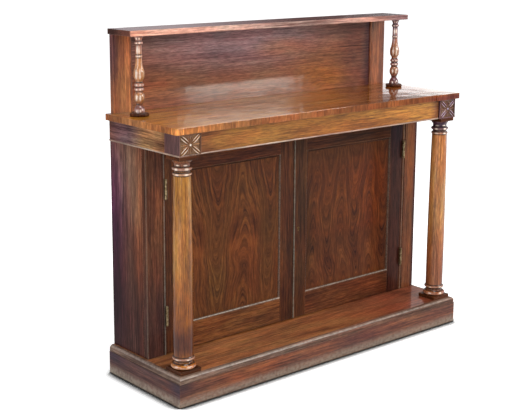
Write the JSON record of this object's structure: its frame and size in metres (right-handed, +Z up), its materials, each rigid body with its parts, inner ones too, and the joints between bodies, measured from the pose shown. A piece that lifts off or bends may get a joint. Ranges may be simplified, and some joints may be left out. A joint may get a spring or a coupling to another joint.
{
  "type": "chiffonier",
  "caption": "Shallow cupboard with panelled doors set back behind turned columns, on a moulded plinth, with a shelved gallery on turned balusters.",
  "frame": {"origin": "at floor level under the middle of the piece, left to right and front to back", "axes": "+Z up, +X to the right of someone facing the doors, the doors face -Y"},
  "size_m": [1.3, 0.396, 1.152],
  "materials": {
    "rosewood": "French-polished rosewood veneer, dark brown with black streaks",
    "figured_rosewood": "polished rosewood veneer with arched figure",
    "turned_rosewood": "polished turned rosewood, warmer and worn lighter",
    "carved_rosewood": "carved rosewood, darker in its hollows",
    "secondary_wood": "plain sawn and planed pine, aged",
    "brass": "aged brass",
    "steel": "dull steel"
  },
  "bodies": {
    "root": {"plinth_front": "rosewood", "plinth_side_right": "rosewood", "plinth_side_left": "rosewood", "plinth_back": "secondary_wood", "base_board": "rosewood", "base_mouldings": "rosewood", "cupboard_side_right": "rosewood", "cupboard_side_left": "rosewood", "pilaster_right": "rosewood", "pilaster_left": "rosewood", "head_rail": "rosewood", "cupboard_floor": "secondary_wood", "cupboard_ceiling": "secondary_wood", "back_boards": "secondary_wood", "inner_shelf": "secondary_wood", "frieze_front": "rosewood", "frieze_side_right": "rosewood", "frieze_side_left": "rosewood", "frieze_back": "secondary_wood", "frieze_beads": "rosewood", "corner_block_right": "rosewood", "corner_block_left": "rosewood", "paterae": "carved_rosewood", "main_top": "rosewood", "column_pads": "rosewood", "column_abaci": "rosewood", "column_right": "turned_rosewood", "column_left": "turned_rosewood", "gallery_upright_right": "rosewood", "gallery_upright_left": "rosewood", "gallery_panel": "rosewood", "gallery_shelf": "rosewood", "baluster_feet": "turned_rosewood", "baluster_right": "turned_rosewood", "baluster_left": "turned_rosewood", "hinge_frame_leaves": "brass", "hinge_pins": "steel", "frame_hinge_screws": "brass"},
    "left_door": {"door_hinge_stile_left": "rosewood", "door_meeting_stile_left": "rosewood", "door_bottom_rail_left": "rosewood", "door_top_rail_left": "rosewood", "door_panel_left": "figured_rosewood", "door_panel_beads_left": "rosewood", "door_hinge_leaves_left": "brass", "door_hinge_screws_left": "brass", "flush_bolt_plates": "brass"},
    "right_door": {"door_hinge_stile_right": "rosewood", "door_meeting_stile_right": "rosewood", "door_bottom_rail_right": "rosewood", "door_top_rail_right": "rosewood", "door_panel_right": "figured_rosewood", "door_panel_beads_right": "rosewood", "door_hinge_leaves_right": "brass", "door_hinge_screws_right": "brass", "lock_case": "brass", "escutcheon": "brass"},
    "lock_bolt": {"lock_bolt": "brass"},
    "top_bolt": {"top_bolt": "brass"},
    "bottom_bolt": {"bottom_bolt": "brass"}
  },
  "joints": [
    {"name": "left_door_hinge", "type": "hinge", "parent": "root", "child": "left_door", "pos_m": [-0.5554, -0.0033, 0.4415], "axis": [0, 0, -1], "range_deg": [0, 90]},
    {"name": "right_door_hinge", "type": "hinge", "parent": "root", "child": "right_door", "pos_m": [0.5554, -0.0033, 0.4415], "axis": [0, 0, 1], "range_deg": [0, 90]},
    {"name": "lock_bolt_slide", "type": "slide", "parent": "right_door", "child": "lock_bolt", "axis": [-1, 0, 0], "range_m": [0, 0.009]},
    {"name": "top_bolt_slide", "type": "slide", "parent": "left_door", "child": "top_bolt", "axis": [0, 0, 1], "range_m": [0, 0.012]},
    {"name": "bottom_bolt_slide", "type": "slide", "parent": "left_door", "child": "bottom_bolt", "axis": [0, 0, -1], "range_m": [0, 0.012]}
  ]
}
